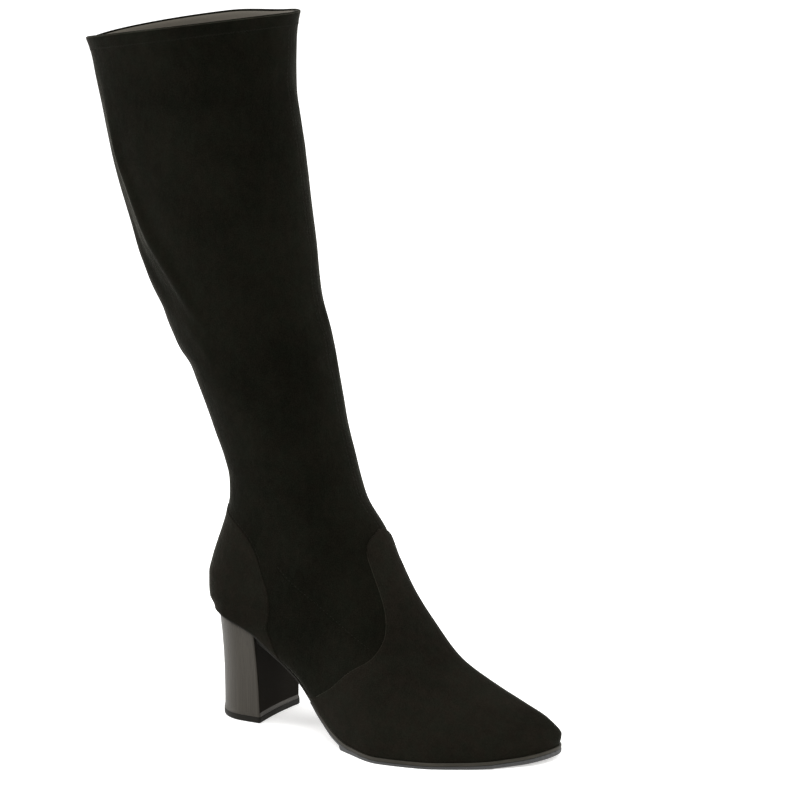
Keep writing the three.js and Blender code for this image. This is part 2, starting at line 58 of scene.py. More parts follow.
# Tables
class Table:
    """Rows of named numbers; each column is a smooth curve over the first, without overshoot."""

    def __init__(self, names, rows):
        self.names = names.split()
        self.rows = np.array(rows, float)

    def curve(self, name):
        xs = self.rows[:, 0]
        ys = self.rows[:, self.names.index(name)]
        slope = np.diff(ys) / np.diff(xs)
        tangent = np.concatenate([slope[:1], np.zeros(len(xs) - 2), slope[-1:]])
        before = slope[:-1]
        after = slope[1:]
        same = before * after > 0
        tangent[1:-1][same] = (2 * before * after)[same] / (before + after)[same]

        def read(x):
            x = np.asarray(x, float)
            i = np.clip(np.searchsorted(xs, x) - 1, 0, len(xs) - 2)
            h = xs[i + 1] - xs[i]
            t = np.clip((x - xs[i]) / h, 0, 1)
            inside = (ys[i] * (2 * t**3 - 3 * t**2 + 1) + tangent[i] * h * (t**3 - 2 * t**2 + t)
                      + ys[i + 1] * (3 * t**2 - 2 * t**3) + tangent[i + 1] * h * (t**3 - t**2))
            beyond = np.minimum(x - xs[0], 0) * tangent[0] + np.maximum(x - xs[-1], 0) * tangent[-1]
            return inside + beyond
        return read

    def curves(self):
        return {name: self.curve(name) for name in self.names[1:]}


PROFILE = Table("level backX backZ frontX frontZ", [
    (0, -18, 69.3, 213.5, 8.5), (1, -21.2, 75.3, 214.5, 14.5), (2, -21.8, 83, 204.5, 24.5),
    (3, -21.8, 91, 188, 32.3), (4, -19.6, 100, 168, 42.5), (5, -16.2, 110, 147.5, 55),
    (6, -12.4, 120, 130.5, 74), (7, -8.8, 131, 117, 92), (8, -7, 142, 106, 111),
    (9, -7.5, 152, 95, 130), (10, -11, 164, 82, 146), (11, -17, 178, 77, 160),
    (12, -24, 195, 72, 178), (13, -32, 213, 67, 197), (14, -44, 231, 62, 222),
    (15, -56, 254, 57.5, 244), (16, -67.5, 277, 49.5, 272), (17, -75.5, 300, 46.5, 298),
    (18, -84, 325, 43, 327), (19, -92, 352, 39, 356), (20, -98.5, 382, 34, 388),
    (21, -102.5, 401, 33, 418), (22, -107, 415, 35, 438.5)])
FEATHER = Table("x z", [
    (-21, 69), (-10, 68.2), (5, 65), (20, 59), (35, 48.5), (50, 37.5), (62, 26.5), (72, 17.5),
    (85, 9), (100, 5), (125, 4.2), (150, 4.2), (175, 4.5), (200, 6.2), (214.5, 8.5)])
PLAN = Table("x ridge lateral medial lateralFull medialFull", [
    (-25, 0, 27, 27, 28.5, 28.5), (0, 0, 28, 27.5, 29.5, 29), (25, 0, 27.5, 26.5, 31, 30),
    (50, -1, 26, 26, 32, 30.5), (75, -1, 33, 29.5, 36, 32), (100, 0, 45.5, 33, 46.5, 34.5),
    (125, 1, 55, 34, 56, 35), (150, 2, 51.5, 32, 52, 32.5), (175, 4, 42, 28, 42, 28),
    (190, 6, 37, 25, 37, 25), (202, 7, 33.5, 23, 33.5, 23), (215, 8, 34, 24, 34, 24)])
SHAFT = Table("level lateral medial backRound frontRound", [
    (0, 30, 29, 27, 40), (3, 31, 30, 29, 36), (5, 31, 30, 31, 64), (7, 31, 31, 34, 74),
    (8, 31.5, 31.5, 38, 68), (9, 32, 32, 43, 58), (10, 33, 33, 46, 47), (12, 33.5, 33.5, 48, 48),
    (14, 36, 36, 53, 53), (16, 38, 38, 59.5, 59.5), (18, 39.5, 39.5, 65, 65),
    (20, 40.5, 40.5, 68.5, 68.5), (22, 42, 43, 72, 72)])
VAMP = Table("level lateral medial", [
    (0, 0.4, 1.56), (1.4, 0.438, 1.54), (2.4, 0.48, 1.505), (3.2, 0.525, 1.465), (4, 0.584, 1.402),
    (5, 0.69, 1.303), (5.8, 0.763, 1.228), (6.5, 0.796, 1.199), (7.2, 0.81, 1.181),
    (7.9, 0.813, 1.169), (8.4, 0.833, 1.137), (8.7, 0.88, 1.09), (8.95, 0.965, 1.025)])
COUNTER = Table("level angle", [
    (0, 0.335), (2, 0.331), (3.5, 0.353), (5, 0.37), (6.2, 0.377), (7.5, 0.36)])
COUNTER_TOP = Table("part level", [
    (0, 7.45), (0.4, 7.3), (0.75, 7.12), (0.88, 6.92), (0.96, 6.5), (1, 5.95)])
ZIP = Table("level angle", [
    (2, 1.56), (4.5, 1.537), (7, 1.55), (9, 1.535), (11, 1.512), (14, 1.508)])
SIDE_SEAM = Table("level angle", [
    (13.9, 1.505), (15, 1.498), (17.5, 1.474), (19.9, 1.438), (21.4, 1.42), (22, 1.415)])
SOLE = Table("x thickness edge", [
    (-25, 1.5, -0.9), (16, 1.5, -0.9), (26, 1.7, -0.1), (45, 2.2, 0.3), (62, 2.6, 0.6), (72, 3.4, 0.9),
    (90, 3.9, 1.3), (150, 3.9, 1.3), (172, 4.1, 1.3), (190, 4.6, 1.4), (214, 5.2, 1.4)])
HEEL = Table("part breast back lateral medial", [
    (0, 22.2, -12.2, 23, 24.8), (0.3, 21.4, -12.2, 23, 26.2), (0.6, 20.6, -12.6, 23.6, 26.6),
    (0.85, 19.9, -13.6, 24.6, 26.4), (1, 19.5, -14.6, 25.4, 26)])
LIFT_RIM = 0.5
LIFT_HEIGHT = 4
HEEL_LOW = LIFT_HEIGHT + 0.06
HEEL_TAPER = 0.985  # of its width, at its front face
HEEL_HOLLOW = 1.2  # of its front face
SEAT_PLATE = 1.5 + GAP * 2
HALF_SOLE_FROM = 63
FLAT_TREAD = (92, 172)  # x where the sole lies on the ground

profile = PROFILE.curves()
plan = PLAN.curves()
shaft = SHAFT.curves()
feather = FEATHER.curve("z")
sole = SOLE.curves()
heel = HEEL.curves()
zip_line = ZIP.curve("angle")

# Soft folds: height outwards (negative is a dent), width, and points of angle and level
FOLDS = {
    "calf crest": (2.4, 4.8, [
        (0.22, 20.4), (0.245, 18.96), (0.273, 18.26), (0.305, 17.31), (0.36, 16.56), (0.408, 15.93),
        (0.438, 15.42), (0.46, 14.85), (0.475, 14.2)]),
    "behind the crest": (-1.35, 6.5, [
        (0.17, 18.3), (0.19, 17.4), (0.235, 16.6), (0.29, 15.9), (0.335, 15.3), (0.365, 14.7)]),
    "collar front dent": (-1.3, 10, [(0.86, 20.3), (1.0, 20.3), (1.15, 20.4)]),
    "front swell": (1.0, 8, [(0.85, 16.9), (1.0, 16.8), (1.12, 16.8)]),
    "before the crest": (-0.8, 8, [(0.36, 18.6), (0.36, 17.5), (0.42, 16.6), (0.47, 15.7), (0.5, 15.0)]),
    "low crest": (0.8, 4.5, [(0.36, 15.2), (0.4, 14.7), (0.43, 14.2), (0.45, 13.8)]),
    "upper back dent": (-0.8, 7, [(-0.12, 16.05), (0.0, 16.0), (0.154, 16.0), (0.2, 16.05)]),
    "middle back dent": (-0.6, 7, [(-0.1, 15.0), (0.0, 15.0), (0.199, 15.05), (0.26, 15.1)]),
    "lower back dent": (-0.9, 7, [(-0.14, 13.4), (0.0, 13.5), (0.244, 13.5), (0.342, 13.58)]),
    "upper front dent": (-1.0, 7, [(0.9, 15.6), (1.0, 15.45), (1.1, 15.4)]),
    "lower front dent": (-1.1, 8, [(0.9, 14.35), (1.0, 14.3), (1.1, 14.2)]),
    "soft hollow": (-1.0, 9, [(0.66, 17.1), (0.72, 16.4), (0.8, 15.9)]),
    "ankle trough": (-1.1, 7, [
        (0.44, 13.9), (0.489, 13.86), (0.547, 13.83), (0.623, 13.89), (0.71, 14.07), (0.78, 14.3)]),
    "over the slider": (-1.4, 5.5, [
        (1.733, 13.22), (1.64, 13.7), (1.579, 13.95), (1.448, 14.46), (1.368, 14.18), (1.344, 13.61),
        (1.303, 13.17), (1.256, 12.54)]),
    "ankle roll": (0.8, 9, [(0.46, 12.6), (0.56, 12.5), (0.66, 12.7), (0.76, 13.1)]),
}


def mix(a, b, t):
    return a + (b - a) * t


def ease(low, high, t):
    k = np.clip((np.asarray(t, float) - low) / (high - low), 0, 1)
    return k * k * (3 - 2 * k)


# The upper's outer face
def way_to(points, line):
    """Distance from each point to a line of points, and where along the line it is met."""
    best = np.full(len(points), np.inf)
    where = np.zeros(len(points))
    for i in range(len(line) - 1):
        step = line[i + 1] - line[i]
        t = np.clip(((points - line[i]) @ step) / (step @ step), 0, 1)
        distance = np.linalg.norm(points - line[i] - t[:, None] * step, axis=1)
        nearer = distance < best
        best[nearer] = distance[nearer]
        where[nearer] = i + t[nearer]
    return best, where


def rounding(q, power):
    return (1 - (1 - np.clip(q, 0, 1)) ** power) ** (1 / power)


def side_point(s, level):
    """Place in side view of a part of a level, back to front, with the arch's sag low down."""
    x = mix(profile["backX"](level), profile["frontX"](level), s)
    chord = mix(profile["backZ"](level), profile["frontZ"](level), s)
    x0 = mix(profile["backX"](0), profile["frontX"](0), s)
    sag = feather(x0) - mix(profile["backZ"](0), profile["frontZ"](0), s)
    return x, chord + sag * (1 - np.clip(level / SHAFT_FROM, 0, 1)) ** SAG_POWER


def face(angle, level):
    """Points of the outer face, in millimetres, for arrays of angle in radians and level."""
    angle, level = np.broadcast_arrays(np.asarray(angle, float), np.asarray(level, float))
    turned = np.mod(angle, 2 * np.pi)
    s = (1 - np.cos(turned)) / 2
    lateral = turned <= np.pi
    x, z = side_point(s, level)
    to_shaft = ease(3.5, SHAFT_FROM, level)
    above = 1 - np.exp(-np.maximum(0, z - feather(x)) / FOOT_SWELL)
    narrow = np.where(lateral, plan["lateral"](x), plan["medial"](x))
    full = np.where(lateral, plan["lateralFull"](x), plan["medialFull"](x))
    straight = np.where(lateral, shaft["lateral"](level), shaft["medial"](level))
    width = mix(mix(narrow, full, above), straight, to_shaft)
    steps = np.arange(COLLAR * 6 + 1) / 6
    flat = np.stack([x.ravel(), z.ravel()], 1)
    ends = 1
    for part, end, power in ((0, "back", BACK_POWER), (1, "front", mix(TOE_POWER, BACK_POWER, to_shaft))):
        distance, where = way_to(flat, np.stack(side_point(part, steps), 1))
        own_x, own_z = side_point(part, level)
        own = np.hypot(x - own_x, z - own_z)
        depth = shaft[end + "Round"](where / 6).reshape(x.shape)
        distance = np.minimum(distance.reshape(x.shape), own)
        ends = ends * rounding(distance / depth, power)
    ridge = plan["ridge"](x) * (1 - to_shaft)
    to_front = 1 - 0.75 * ease(0.5, 0.85, s)
    rise = np.where(lateral, RIM_RISE["lateral"], RIM_RISE["medial"] * to_front)
    rise = rise * ends * ease(COLLAR - 4, COLLAR, level)
    return np.stack([x, ridge + np.where(lateral, -1, 1) * width * ends, z + rise], -1)


def round_angles(count):
    return np.arange(count) * 2 * np.pi / count


def unit(v):
    return v / np.maximum(np.linalg.norm(v, axis=-1, keepdims=True), 1e-9)


class Skin:
    """The outer face as a fine grid, read between its points, with its two directions."""

    def __init__(self, per_turn, per_level):
        self.per_turn = per_turn
        self.per_level = per_level
        self.angles = round_angles(per_turn)
        self.levels = np.arange(COLLAR * per_level + 1) / per_level
        self.points = face(self.angles[None, :], self.levels[:, None])
        self.round_ends()
        self.measure()

    def round_ends(self):
        """Even steps across the middle of the back and of the front, where the face turns fastest."""
        reach = self.per_turn // 72
        for middle in (0, self.per_turn // 2):
            for side in (-1, 1):
                far = self.points[:, (middle + side * reach) % self.per_turn, 1]
                for i in range(1, reach):
                    column = (middle + side * i) % self.per_turn
                    self.points[:, column, 1] = mix(self.points[:, middle, 1], far, i / reach)

    def measure(self):
        turn = np.roll(self.points, -1, 1) - np.roll(self.points, 1, 1)
        self.turn = turn / (4 * np.pi / self.per_turn)
        self.rise = np.gradient(self.points, 1 / self.per_level, axis=0)
        out = np.cross(self.turn, self.rise)
        out[0, :, 2] = 0
        self.out = unit(out)

    def move(self, heights):
        self.points = self.points + self.out * heights[..., None]
        self.measure()

    def read(self, grid, angle, level):
        a = np.mod(angle, 2 * np.pi) * self.per_turn / (2 * np.pi)
        b = np.clip(level, 0, COLLAR) * self.per_level
        j = np.floor(a).astype(int)
        i = np.minimum(np.floor(b).astype(int), len(self.levels) - 2)
        u = (a - j)[..., None]
        v = (b - i)[..., None]
        j = j % self.per_turn
        k = (j + 1) % self.per_turn
        return mix(mix(grid[i, j], grid[i, k], u), mix(grid[i + 1, j], grid[i + 1, k], u), v)

    def at(self, angle, level, out=0.0):
        angle, level, out = np.broadcast_arrays(np.asarray(angle, float), level, out)
        place = self.read(self.points, angle, level)
        over = (level - np.clip(level, 0, COLLAR))[..., None]
        lift = self.read(self.rise, angle, level) * over
        return place + lift + unit(self.read(self.out, angle, level)) * out[..., None]

    def frames(self, angle, level):
        """Along, across and out at each point of a path of angles and levels."""
        place = self.at(angle, level)
        along = unit(np.gradient(place, axis=0))
        out = unit(self.read(self.out, angle, level))
        across = unit(np.cross(out, along))
        return unit(np.cross(across, out)), across, out

    def aside(self, angle, level, distance):
        """The path moved sideways over the face by a distance in millimetres."""
        _, across, _ = self.frames(angle, level)
        turn = self.read(self.turn, angle, level)
        rise = self.read(self.rise, angle, level)
        aa = (turn * turn).sum(-1)
        ab = (turn * rise).sum(-1)
        bb = (rise * rise).sum(-1)
        pa = (turn * across).sum(-1)
        pb = (rise * across).sum(-1)
        whole = np.maximum(aa * bb - ab * ab, 1e-6)
        return (angle + distance * (pa * bb - pb * ab) / whole,
                level + distance * (pb * aa - pa * ab) / whole)


def path(points, spacing=1.0):
    """Angle and level along a smooth path through points of half turns and level."""
    points = np.array(points, float)
    stops = np.arange(len(points))
    curve = Table("stop angle level", np.column_stack([stops, points]))
    t = np.linspace(0, stops[-1], 40 * len(points))
    angle = curve.curve("angle")(t) * np.pi
    level = curve.curve("level")(t)
    return even(angle, level, spacing)


def even(angle, level, spacing):
    """The same path with its points spaced evenly over the face."""
    place = base.at(angle, level)
    run = np.concatenate([[0], np.cumsum(np.linalg.norm(np.diff(place, axis=0), axis=1))])
    count = max(3, int(round(run[-1] / spacing)) + 1)
    t = np.linspace(0, run[-1], count)
    return np.interp(t, run, angle), np.interp(t, run, level)


base = Skin(360, 12)
skin = Skin(360 // COARSE, 12 // COARSE)


def slack(points):
    """Heights of the slow, uneven looseness of soft cloth."""
    flat = points.reshape(-1, 3)
    heights = np.empty(len(flat))
    for i, (x, y, z) in enumerate(flat):
        broad = noise.noise(Vector((x / 34, y / 34, z / 41)))
        small = noise.noise(Vector((x / 12 + 7, y / 12, z / 15)))
        heights[i] = 0.75 * broad + 0.22 * small
    return heights.reshape(points.shape[:2])


def fold_heights(grid):
    flat = grid.points.reshape(-1, 3)
    total = np.zeros(len(flat))
    for height, width, points in FOLDS.values():
        line = base.at(*path(points, 4.0))
        distance, where = way_to(flat, line)
        end = np.minimum(where, len(line) - 1 - where) / (len(line) * 0.3)
        total += height * np.exp(-((distance / width) ** 2)) * ease(0, 1, end)
    total = total.reshape(grid.points.shape[:2])
    loose = ease(7.5, 11, grid.levels)[:, None] * (1 - 0.6 * ease(20.5, 21.6, grid.levels))[:, None]
    near_zip = np.abs(grid.angles[None, :] - np.pi * zip_line(grid.levels)[:, None])
    calm = 1 - (1 - ease(0.16, 0.4, near_zip)) * (grid.levels < ZIP_CALM)[:, None]
    calmer_below = (1 - ease(ZIP_CALM, 15, grid.levels))[:, None]
    calm = calm * (1 - 0.8 * (1 - ease(0.1, 0.3, near_zip)) * calmer_below)
    return (total + slack(grid.points) * loose) * calm


skin.move(fold_heights(skin))


# Meshes
SLOTS = {"black_suede": "upper", "panel_suede": "vamp", "hem_suede": "hem_band",
         "rim_highlight_suede": "hem_band", "lining_cloth": "insole", "sock_cloth": "insole", "thread": "upper",
         "heel_stack": "heel_block", "heel_front_shaded_cover": "heel_block", "sole_edge": "outsole",
         "tread_rubber": "outsole", "lift_rubber": "top_lift", "coil_nylon": "zip_coil",
         "zip_tape": "zip_coil", "dark_metal": "zip_slider", "enamel": "zip_slider"}


def piece(name, points, faces, finish, body="boot", slot=None):
    """A mesh piece of millimetre points that rides on a body."""
    mesh = bpy.data.meshes.new(name)
    mesh.from_pydata((np.asarray(points) * MM).tolist(), [], faces)
    mesh.validate()
    mesh.update()
    for polygon in mesh.polygons:
        polygon.use_smooth = True
    made = bpy.data.objects.new(name, mesh)
    bpy.context.scene.collection.objects.link(made)
    mesh.materials.append(finish)
    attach(made, body)
    own = "zip_pull" if body == "zip_pull" else SLOTS[finish.name]
    return made


def net(rows, columns, round_columns=False, round_rows=False, start=0):
    """Faces over rows and columns of points, in order."""
    last_row = rows if round_rows else rows - 1
    last_column = columns if round_columns else columns - 1
    i, j = np.meshgrid(np.arange(last_row), np.arange(last_column), indexing="ij")
    k = (i + 1) % rows
    m = (j + 1) % columns
    corners = [i * columns + j, i * columns + m, k * columns + m, k * columns + j]
    return (np.stack([c.ravel() for c in corners], 1) + start).tolist()


def sheet(name, rows, finish, closed=True, round_rows=False, **more):
    """A mesh over rows of points; closed joins the end of each row to its start."""
    rows = np.array(rows)
    faces = net(rows.shape[0], rows.shape[1], closed, round_rows)
    return piece(name, rows.reshape(-1, 3), faces, finish, **more)


def strip(name, line, section, finish, **more):
    """A band along a path over the face: the section gives sideways and outward millimetres."""
    rows = [skin.at(*skin.aside(*line, sideways), out) for sideways, out in section]
    return sheet(name, rows, finish, closed=False, **more)


def thread_ring(across, out, radius):
    """Offsets round a thread, from two directions across it."""
    around = round_angles(SIDES)[:, None]
    return (across[..., None, :] * np.cos(around) + out[..., None, :] * np.sin(around)) * radius


def stitches(name, rows, spacing, thick=0.12, length=1.6):
    """Small sunk threads in rows. Each row is a path of angle and level, and a height."""
    along = np.array([-1, -0.8, -0.35, 0.35, 0.8, 1])
    swell = np.array([0.15, 0.7, 1, 1, 0.7, 0.15])
    sunk = np.array([-0.9, -0.35, 0.1, 0.1, -0.35, -0.9]) * thick
    points = []
    faces = []
    for angle, level, height in rows:
        angle, level = even(angle, level, spacing)
        forward, across, out = skin.frames(angle, level)
        place = skin.at(angle, level, height)
        for p, f, c, o in zip(place, forward, across, out):
            ring = thread_ring(c, o, thick)
            body = (p + f * (along * length / 2)[:, None] + o * sunk[:, None])[:, None, :]
            start = len(points) * len(along) * SIDES
            points.append((body + ring[None] * swell[:, None, None]).reshape(-1, 3))
            faces += net(len(along), SIDES, round_columns=True, start=start)
            last = start + (len(along) - 1) * SIDES
            faces.append([start + i for i in range(SIDES - 1, -1, -1)])
            faces.append([last + i for i in range(SIDES)])
    return piece(name, np.concatenate(points), faces, THREAD)


def solid_loops(name, loops, finish, caps=None):
    """A stack of loops closed across at both ends, the ends in a finish of their own if given."""
    loops = np.array(loops)
    faces = net(loops.shape[0], loops.shape[1], round_columns=True)
    count = loops.shape[1]
    faces.append(list(range(count - 1, -1, -1)))
    faces.append([(loops.shape[0] - 1) * count + i for i in range(count)])
    made = piece(name, loops.reshape(-1, 3), faces, finish)
    if caps:
        made.data.materials.append(caps)
        for polygon in made.data.polygons:
            if len(polygon.vertices) > 4:
                polygon.material_index = 1
    return made


# Finishes
class Shade:
    """A shader value. Python's operators on it add Math nodes."""

    def __init__(self, finish, socket):
        self.finish = finish
        self.socket = socket

    def math(self, operation, *values):
        return self.finish.node("Math", {"operation": operation}, dict(enumerate(values)))

    def __add__(self, other):
        return self.math("ADD", self, other)

    def __radd__(self, other):
        return self.math("ADD", other, self)

    def __mul__(self, other):
        return self.math("MULTIPLY", self, other)


class Finish:
    """A material under construction: its shader, and one method that adds any other node."""

    def __init__(self, name, **constants):
        self.material = bpy.data.materials.new(name)
        self.material.use_nodes = True
        self.tree = self.material.node_tree
        self.shader = self.tree.nodes["Principled BSDF"]
        for key, value in constants.items():
            self.shader.inputs[key.replace("_", " ")].default_value = value
        self.place = self.node("TexCoord", {}, {}, "Object")

    def node(self, kind, settings, inputs, output=0):
        made = self.tree.nodes.new("ShaderNode" + kind)
        for key, value in settings.items():
            setattr(made, key, value)
        for key, value in inputs.items():
            socket = made.inputs[key] if isinstance(key, int) else self.named(made.inputs, key)
            self.put(socket, value)
        found = made.outputs[output] if isinstance(output, int) else self.named(made.outputs, output)
        return Shade(self, found)

    def named(self, sockets, key):
        return next(s for s in sockets if key in (s.identifier, s.name))

    def put(self, socket, value):
        if isinstance(value, Shade):
            self.tree.links.new(value.socket, socket)
        else:
            socket.default_value = value

    def feed(self, name, value):
        self.put(self.shader.inputs[name], value)

    def done(self, colour, roughness, height, distance, strength, under=None):
        """The material, with its colour, roughness and fine relief."""
        self.feed("Base Color", colour)
        self.feed("Roughness", roughness)
        self.feed("Normal", self.bump(height, distance, strength, under))
        return self.material

    def stretch(self, x, y, z):
        return self.node("VectorMath", {"operation": "MULTIPLY"}, {0: self.place, 1: (x, y, z)})

    def grain(self, scale, detail=2.0, roughness=0.5, where=None):
        """Noise between 0 and 1, its size in cells per metre."""
        return self.node("TexNoise", {}, {"Vector": where or self.place, "Scale": scale,
                                          "Detail": detail, "Roughness": roughness})

    def ramp(self, value, low, high, start=0.0, end=1.0):
        return self.node("MapRange", {"interpolation_type": "SMOOTHSTEP"},
                         {"Value": value, "From Min": low, "From Max": high, "To Min": start,
                          "To Max": end}, "Result")

    def between(self, part, a, b, blend="MIX"):
        """A colour between two colours, or the first blended with the second."""
        return self.node("Mix", {"data_type": "RGBA", "blend_type": blend},
                         {"Factor_Float": part, "A_Color": a, "B_Color": b}, "Result_Color")

    def bump(self, height, distance, strength, under=None):
        inputs = {"Height": height, "Distance": distance, "Strength": strength}
        if under:
            inputs["Normal"] = under
        return self.node("Bump", {}, inputs, "Normal")


def grey(value, warm=1.0, cool=1.0):
    return (value * warm, value, value * cool, 1)


def suede(name, dark, light, nap=1.0):
    """Brushed micro-suede: a matt nap that lies lighter and darker in patches."""
    finish = Finish(name, Specular_IOR_Level=0.03, Specular_Tint=(1, 0.97, 0.75, 1),
                    Sheen_Weight=0.11, Sheen_Roughness=0.22, Sheen_Tint=(1, 0.98, 0.84, 1))
    clouds = finish.ramp(finish.grain(19, 3, 0.55), 0.32, 0.68)
    strokes = finish.ramp(finish.grain(1, 4, 0.65, where=finish.stretch(210, 210, 150)), 0.3, 0.7)
    fibre = finish.grain(1300, 3, 0.7)
    tone = clouds * 0.36 + strokes * 0.2 + finish.ramp(fibre, 0.3, 0.7) * 0.44
    hue = finish.ramp(finish.grain(110, 3, 0.7), 0.4, 0.62)
    tint = finish.between(hue, (1.07, 0.98, 0.97, 1), (0.95, 1.02, 0.98, 1))
    body = finish.between(tone, dark, light)
    colour = finish.between(1.0, body, tint, "MULTIPLY")
    soft = finish.bump(strokes, 0.0004, 0.35)
    return finish.done(colour, finish.ramp(tone, 0, 1, 0.97, 0.84), fibre, 0.00022 * nap, 0.6, soft)


def lining_cloth():
    finish = Finish("lining_cloth", Specular_IOR_Level=0.25, Sheen_Weight=0.05, Sheen_Roughness=0.5)
    ribs = finish.grain(1, 1, 0.4, where=finish.stretch(900, 900, 2400))
    clouds = finish.grain(28, 2, 0.5)
    tone = ribs * 0.5 + clouds * 0.5
    colour = finish.between(tone, grey(0.05, 1.12, 0.8), grey(0.1, 1.12, 0.8))
    return finish.done(colour, 0.8 + clouds * 0.12, ribs, 0.0002, 0.5)


def sock_cloth():
    finish = Finish("sock_cloth", Specular_IOR_Level=0.3, Sheen_Weight=0.05)
    pores = finish.grain(1500, 3, 0.6)
    clouds = finish.grain(40, 2, 0.5)
    colour = finish.between(clouds, grey(0.012), grey(0.03, 1.05, 0.95))
    return finish.done(colour, 0.62 + pores * 0.2, pores, 0.0002, 0.37)


def thread():
    finish = Finish("thread", Specular_IOR_Level=0.1, Specular_Tint=(1, 0.97, 0.8, 1))
    twist = finish.grain(1, 1, 0.4, where=finish.stretch(5200, 5200, 3600))
    colour = finish.between(twist, grey(0.004, 1.05, 0.75), grey(0.009, 1.05, 0.75))
    return finish.done(colour, 0.6 + twist * 0.2, twist, 0.0001, 0.5)


def heel_stack():
    """Satin stacked heel: fine upright grain, lighter and darker streaks."""
    finish = Finish("heel_stack", Specular_IOR_Level=0.28, Specular_Tint=(1, 0.96, 0.88, 1))
    fine = finish.grain(1, 3, 0.65, where=finish.stretch(1900, 1900, 18))
    broad = finish.grain(1, 2, 0.5, where=finish.stretch(260, 260, 5))
    streak = finish.ramp(fine * 0.75 + broad * 0.25, 0.3, 0.72)
    colour = finish.between(streak, grey(0.014, 1.15, 0.78), grey(0.027, 1.15, 0.8))
    return finish.done(colour, 0.4 + streak * 0.16, fine, 0.0003, 0.5)


def heel_front_shaded_cover():
    """Plain matt covering of the heel's front face: its own matt black, darkened further as painted shade
    for the face turned from the light.
    """
    finish = Finish("heel_front_shaded_cover", Specular_IOR_Level=0.03, Specular_Tint=(1, 0.96, 0.8, 1))
    clouds = finish.ramp(finish.grain(70, 3, 0.6), 0.35, 0.7)
    pores = finish.grain(1400, 2, 0.6)
    tone = clouds * 0.6 + pores * 0.4
    colour = finish.between(tone, grey(0.006, 1.15, 0.78), grey(0.01, 1.15, 0.78))
    return finish.done(colour, 0.8 + clouds * 0.1, pores, 0.00015, 0.37)


def sole_rubber(name, dark, light, rough, behind=None):
    """Scuffed rubber; behind is the colour that it has from the waist back to the heel, near black there
    as painted shade between the upper and the heel.
    """
    finish = Finish(name, Specular_IOR_Level=0.15, Specular_Tint=(1, 0.96, 0.84, 1))
    pores = finish.grain(900, 3, 0.6)
    scuff = finish.ramp(finish.grain(60, 4, 0.7), 0.45, 0.75)
    body = finish.between(scuff * 0.6 + pores * 0.4, dark, light)
    if behind:
        along = finish.node("SeparateXYZ", {}, {0: finish.place})
        body = finish.between(finish.ramp(along, 0.045, 0.085), behind, body)
    return finish.done(body, rough + scuff * 0.16, pores, 0.0002, 0.37)


def tread_rubber():
    """Rubber with fine slanting ribs underneath."""
    finish = Finish("tread_rubber", Specular_IOR_Level=0.4)
    ribs = finish.node("TexWave", {"wave_type": "BANDS", "bands_direction": "DIAGONAL"},
                       {"Vector": finish.place, "Scale": 110.0, "Distortion": 0.0}, 1)
    pores = finish.grain(1200, 2, 0.6)
    colour = finish.between(pores, grey(0.018), grey(0.04))
    return finish.done(colour, 0.55 + pores * 0.15, ribs * 0.8 + pores * 0.2, 0.0005, 0.5)


def dark_metal():
    """Dark nickel plating, lighter in rubbed patches."""
    finish = Finish("dark_metal", Specular_IOR_Level=0.5, Metallic=1.0)
    scratch = finish.grain(1, 3, 0.6, where=finish.stretch(700, 700, 4200))
    worn = finish.ramp(finish.grain(420, 3, 0.6), 0.4, 0.7)
    colour = finish.between(worn, grey(0.1, 1.02), grey(0.2, 1.02))
    return finish.done(colour, 0.2 + scratch * 0.14, scratch, 0.00004, 0.3)


def enamel():
    """Black enamel with a clear, slightly wavy gloss."""
    finish = Finish("enamel", Specular_IOR_Level=0.15, Coat_Roughness=0.12)
    wave = finish.grain(260, 2, 0.5)
    specks = finish.grain(5200, 1, 0.5)
    finish.feed("Coat Weight", 0.12 + wave * 0.16)
    colour = finish.between(specks, grey(0.004), grey(0.012))
    return finish.done(colour, 0.3 + specks * 0.12, wave, 0.0001, 0.25)


def nylon(name, dark, light, rough, scale):
    finish = Finish(name, Specular_IOR_Level=0.16)
    weave = finish.grain(scale, 2, 0.5)
    return finish.done(finish.between(weave, dark, light), rough + weave * 0.15, weave, 0.00012, 0.5)


SUEDE = suede("black_suede", grey(0.0015, 1.0, 0.66), grey(0.0052, 1.0, 0.68))
PANEL = suede("panel_suede", grey(0.0028, 1.09, 0.72), grey(0.0076, 1.09, 0.74))
HEM = suede("hem_suede", grey(0.0014, 1.0, 0.68), grey(0.0054, 1.0, 0.7), 1.2)
# lighter suede for the thin strips along the collar's rim and the vamp's edges: a painted highlight on
# those edges
EDGE_HIGHLIGHT_SUEDE = suede("rim_highlight_suede", grey(0.006, 1.05, 0.75), grey(0.016, 1.05, 0.75), 1.2)
LINING = lining_cloth()
SOCK = sock_cloth()
THREAD = thread()
STACK = heel_stack()
# the heel's front cover is a real matt covering, and its dark colour is partly painted shade
COVER = heel_front_shaded_cover()
# the sole edge goes near black from the waist back to the heel: painted shade in the recess between upper
# and heel
EDGE = sole_rubber("sole_edge", grey(0.016, 1.1, 0.78), grey(0.034, 1.1, 0.8), 0.5, grey(0.002, 1.1, 0.8))
LIFT = sole_rubber("lift_rubber", grey(0.0025, 1.1, 0.85), grey(0.007, 1.1, 0.85), 0.6)
TREAD = tread_rubber()
METAL = dark_metal()
ENAMEL = enamel()
COIL = nylon("coil_nylon", grey(0.003, 1, 0.85), grey(0.011, 1, 0.85), 0.45, 1500.0)
TAPE = nylon("zip_tape", grey(0.004), grey(0.012), 0.75, 2600.0)


# Upper: the outer suede with its turned-in lower edge
def upper_shell():
    rows = [skin.at(skin.angles, 0.0, -1.4), skin.at(skin.angles, 0.0, -0.3)]
    rows += list(skin.points)
    rows[0][:, 2] -= 0.1
    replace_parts(sheet("suede_shell", rows, SUEDE), "upper")


